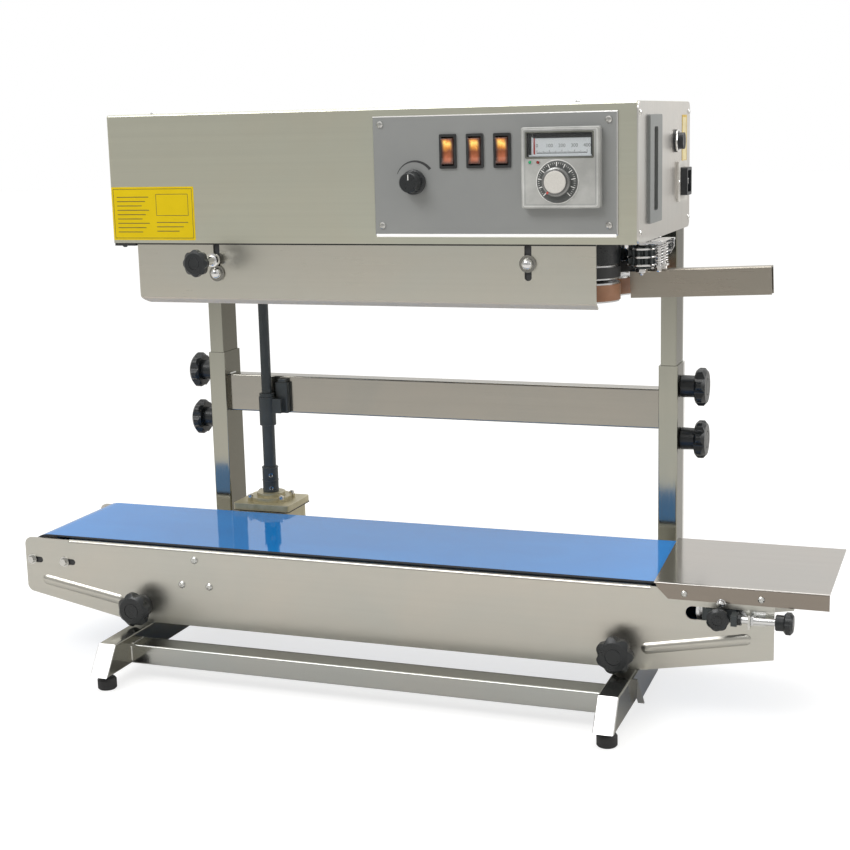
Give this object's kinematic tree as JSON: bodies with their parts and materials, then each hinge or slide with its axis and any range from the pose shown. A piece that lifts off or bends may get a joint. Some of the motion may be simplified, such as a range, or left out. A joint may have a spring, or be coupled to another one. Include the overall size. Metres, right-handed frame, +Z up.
{
  "type": "continuous band sealer",
  "caption": "Vertical table-top band sealer: a sealing head on telescopic columns above a blue belt conveyor, with control panel, guard, infeed guide and drive shaft.",
  "frame": {"origin": "bottom centre of the overall bounding box, on the surface the rubber feet stand on", "axes": "+Z up; -Y towards the operator, the control panel's side; +X towards the infeed end, so bags travel along -X"},
  "size_m": [0.842, 0.358, 0.568],
  "materials": {
    "aluminium": "machined",
    "amber": "translucent amber, lit",
    "belt_blue": "glossy blue PVC",
    "black_plastic": "satin black",
    "black_rubber": "matte",
    "brass": "machined",
    "bright_steel": "polished stainless",
    "cast_alloy": "khaki enamel over casting",
    "controller_grey": "fine texture",
    "dark_steel": "black oxide",
    "dial": "silver grey with dark ring",
    "panel_grey": "matte blue-grey",
    "ptfe_brown": "PTFE-coated glass cloth, semi-gloss",
    "satin_steel": "satin, fine horizontal grain",
    "side_steel": "light satin",
    "window": "clear, flat",
    "zinc": "zinc-plated fasteners"
  },
  "bodies": {
    "base": {"base_feet": "bright_steel", "base_cross_bars": "bright_steel", "rubber_feet": "black_rubber", "outer_columns": "bright_steel", "column_crossbar": "bright_steel", "shaft_bracket": "dark_steel", "conveyor_side_front": "satin_steel", "conveyor_side_rear": "satin_steel", "slider_bed": "dark_steel", "conveyor_belt": "belt_blue", "conveyor_brackets": "zinc", "infeed_plate": "bright_steel", "conveyor_screws": "zinc", "gearbox_housing": "cast_alloy"},
    "head": {"inner_columns": "bright_steel", "head_shell": "satin_steel", "head_side_panel": "side_steel", "head_base_plate": "zinc", "slot_plate": "panel_grey", "control_panel": "panel_grey", "temperature_controller": "controller_grey", "controller_window": "window", "switch_housings": "black_plastic", "fuse_and_inlet": "black_plastic", "head_screws": "zinc", "infeed_guide": "satin_steel", "sealing_bands": "ptfe_brown", "heating_cooling_blocks": "brass", "drive_belts": "black_rubber", "drive_motor": "dark_steel"},
    "lock_knob_left_upper": {"lock_knob_left_upper": "black_plastic"},
    "lock_knob_left_lower": {"lock_knob_left_lower": "black_plastic"},
    "lock_knob_right_upper": {"lock_knob_right_upper": "black_plastic"},
    "lock_knob_right_lower": {"lock_knob_right_lower": "black_plastic"},
    "conveyor_knob_left": {"conveyor_knob_left": "black_plastic"},
    "conveyor_knob_right": {"conveyor_knob_right": "black_plastic"},
    "main_drive_wheel": {"main_drive_wheel": "aluminium"},
    "wheel_outfeed_front": {"wheel_outfeed_front": "aluminium"},
    "wheel_infeed_front": {"wheel_infeed_front": "aluminium"},
    "wheel_infeed_rear": {"wheel_infeed_rear": "aluminium"},
    "press_wheel_front": {"press_wheel_front": "aluminium"},
    "press_wheel_rear": {"press_wheel_rear": "aluminium"},
    "infeed_roller_front": {"infeed_roller_front": "dark_steel"},
    "infeed_roller_rear": {"infeed_roller_rear": "dark_steel"},
    "motor_pinion": {"motor_pinion": "dark_steel"},
    "upper_drive_shaft": {"upper_drive_shaft": "dark_steel"},
    "lower_drive_shaft": {"lower_drive_shaft": "dark_steel"},
    "drive_roller": {"drive_roller": "aluminium"},
    "idle_roller": {"idle_roller": "aluminium"},
    "takeup_carriage": {"takeup_carriage": "dark_steel"},
    "takeup_roller": {"takeup_roller": "aluminium"},
    "takeup_clamp_knob": {"takeup_clamp_knob": "black_plastic"},
    "tension_screw": {"tension_screw": "black_plastic"},
    "guard_cover": {"guard_cover": "satin_steel"},
    "guard_knob": {"guard_knob": "black_plastic"},
    "speed_knob": {"speed_knob": "black_plastic"},
    "temperature_dial": {"temperature_dial": "dial"},
    "rocker_power": {"rocker_power": "amber"},
    "rocker_heat": {"rocker_heat": "amber"},
    "rocker_fan": {"rocker_fan": "amber"}
  },
  "joints": [
    {"name": "head_height", "type": "slide", "parent": "base", "child": "head", "axis": [0, 0, 1], "range_m": [-0.055, 0.04]},
    {"name": "lock_knob_left_upper_turn", "type": "hinge", "parent": "base", "child": "lock_knob_left_upper", "pos_m": [-0.299, 0.125, 0.28], "axis": [-1, 0, 0], "range_deg": [0, 360]},
    {"name": "lock_knob_left_lower_turn", "type": "hinge", "parent": "base", "child": "lock_knob_left_lower", "pos_m": [-0.299, 0.125, 0.225], "axis": [-1, 0, 0], "range_deg": [0, 360]},
    {"name": "lock_knob_right_upper_turn", "type": "hinge", "parent": "base", "child": "lock_knob_right_upper", "pos_m": [0.257, 0.125, 0.28], "axis": [1, 0, 0], "range_deg": [0, 360]},
    {"name": "lock_knob_right_lower_turn", "type": "hinge", "parent": "base", "child": "lock_knob_right_lower", "pos_m": [0.257, 0.125, 0.225], "axis": [1, 0, 0], "range_deg": [0, 360]},
    {"name": "conveyor_knob_left_turn", "type": "hinge", "parent": "base", "child": "conveyor_knob_left", "pos_m": [-0.279, -0.093, 0.064], "axis": [0, -1, 0], "range_deg": [0, 360]},
    {"name": "conveyor_knob_right_turn", "type": "hinge", "parent": "base", "child": "conveyor_knob_right", "pos_m": [0.23, -0.093, 0.064], "axis": [0, -1, 0], "range_deg": [0, 360]},
    {"name": "main_drive", "type": "hinge", "parent": "head", "child": "main_drive_wheel", "pos_m": [-0.167, 0.0245, 0.4], "axis": [0, 0, 1], "continuous": true},
    {"name": "wheel_outfeed_front_spin", "type": "hinge", "parent": "head", "child": "wheel_outfeed_front", "pos_m": [-0.167, -0.0385, 0.4], "axis": [0, 0, 1], "continuous": true},
    {"name": "wheel_infeed_front_spin", "type": "hinge", "parent": "head", "child": "wheel_infeed_front", "pos_m": [0.189, -0.0385, 0.4], "axis": [0, 0, 1], "continuous": true},
    {"name": "wheel_infeed_rear_spin", "type": "hinge", "parent": "head", "child": "wheel_infeed_rear", "pos_m": [0.189, 0.0245, 0.4], "axis": [0, 0, 1], "continuous": true},
    {"name": "press_wheel_front_spin", "type": "hinge", "parent": "head", "child": "press_wheel_front", "pos_m": [-0.099, -0.0225, 0.4], "axis": [0, 0, 1], "continuous": true},
    {"name": "press_wheel_rear_spin", "type": "hinge", "parent": "head", "child": "press_wheel_rear", "pos_m": [-0.099, 0.0085, 0.4], "axis": [0, 0, 1], "continuous": true},
    {"name": "infeed_roller_front_spin", "type": "hinge", "parent": "head", "child": "infeed_roller_front", "pos_m": [0.237, -0.021, 0.425], "axis": [0, 0, 1], "continuous": true},
    {"name": "infeed_roller_rear_spin", "type": "hinge", "parent": "head", "child": "infeed_roller_rear", "pos_m": [0.237, 0.007, 0.425], "axis": [0, 0, 1], "continuous": true},
    {"name": "motor_spin", "type": "hinge", "parent": "head", "child": "motor_pinion", "pos_m": [-0.125, 0.0245, 0.455], "axis": [0, 0, 1], "continuous": true},
    {"name": "upper_shaft_spin", "type": "hinge", "parent": "head", "child": "upper_drive_shaft", "pos_m": [-0.2155, 0.1006, 0.4], "axis": [0, 0, 1], "continuous": true},
    {"name": "lower_shaft_spin", "type": "hinge", "parent": "base", "child": "lower_drive_shaft", "pos_m": [-0.2155, 0.1006, 0.15], "axis": [0, 0, 1], "continuous": true},
    {"name": "drive_roller_spin", "type": "hinge", "parent": "base", "child": "drive_roller", "pos_m": [-0.2155, -0.006, 0.0975], "axis": [0, 1, 0], "continuous": true},
    {"name": "idle_roller_spin", "type": "hinge", "parent": "base", "child": "idle_roller", "pos_m": [-0.394, -0.006, 0.1042], "axis": [0, 1, 0], "continuous": true},
    {"name": "takeup_slide", "type": "slide", "parent": "base", "child": "takeup_carriage", "axis": [1, 0, 0], "range_m": [-0.008, 0]},
    {"name": "takeup_roller_spin", "type": "hinge", "parent": "takeup_carriage", "child": "takeup_roller", "pos_m": [0.324, -0.006, 0.1042], "axis": [0, 1, 0], "continuous": true},
    {"name": "takeup_clamp_turn", "type": "hinge", "parent": "takeup_carriage", "child": "takeup_clamp_knob", "pos_m": [0.324, -0.093, 0.1048], "axis": [0, -1, 0], "range_deg": [0, 360]},
    {"name": "tension_screw_turn", "type": "hinge", "parent": "takeup_carriage", "child": "tension_screw", "pos_m": [0.375, -0.0915, 0.1048], "axis": [1, 0, 0], "range_deg": [0, 360]},
    {"name": "guard_height", "type": "slide", "parent": "head", "child": "guard_cover", "axis": [0, 0, 1], "range_m": [-0.012, 0.0035]},
    {"name": "guard_knob_turn", "type": "hinge", "parent": "head", "child": "guard_knob", "pos_m": [-0.175, -0.088, 0.426], "axis": [0, -1, 0], "range_deg": [0, 360]},
    {"name": "speed_knob_turn", "type": "hinge", "parent": "head", "child": "speed_knob", "pos_m": [0.0365, -0.089, 0.4995], "axis": [0, -1, 0], "range_deg": [-150, 120]},
    {"name": "temperature_dial_turn", "type": "hinge", "parent": "head", "child": "temperature_dial", "pos_m": [0.1765, -0.097, 0.4988], "axis": [0, -1, 0], "range_deg": [-120, 150]},
    {"name": "rocker_power_tilt", "type": "hinge", "parent": "head", "child": "rocker_power", "pos_m": [0.0705, -0.084, 0.527], "axis": [1, 0, 0], "range_deg": [-14, 0]},
    {"name": "rocker_heat_tilt", "type": "hinge", "parent": "head", "child": "rocker_heat", "pos_m": [0.0965, -0.084, 0.527], "axis": [1, 0, 0], "range_deg": [-14, 0]},
    {"name": "rocker_fan_tilt", "type": "hinge", "parent": "head", "child": "rocker_fan", "pos_m": [0.1225, -0.084, 0.527], "axis": [1, 0, 0], "range_deg": [-14, 0]}
  ],
  "couplings": [
    {"joint": "wheel_outfeed_front_spin", "follows": "main_drive", "ratio": -1},
    {"joint": "wheel_infeed_front_spin", "follows": "main_drive", "ratio": -1},
    {"joint": "wheel_infeed_rear_spin", "follows": "main_drive", "ratio": 1},
    {"joint": "press_wheel_front_spin", "follows": "main_drive", "ratio": -2.1189},
    {"joint": "press_wheel_rear_spin", "follows": "main_drive", "ratio": 2.1189},
    {"joint": "infeed_roller_front_spin", "follows": "main_drive", "ratio": -2.3},
    {"joint": "infeed_roller_rear_spin", "follows": "main_drive", "ratio": 2.3},
    {"joint": "motor_spin", "follows": "main_drive", "ratio": -3},
    {"joint": "upper_shaft_spin", "follows": "main_drive", "ratio": 1},
    {"joint": "lower_shaft_spin", "follows": "main_drive", "ratio": 1},
    {"joint": "drive_roller_spin", "follows": "main_drive", "ratio": -1},
    {"joint": "idle_roller_spin", "follows": "main_drive", "ratio": -1.0412},
    {"joint": "takeup_roller_spin", "follows": "main_drive", "ratio": -1.0412}
  ]
}
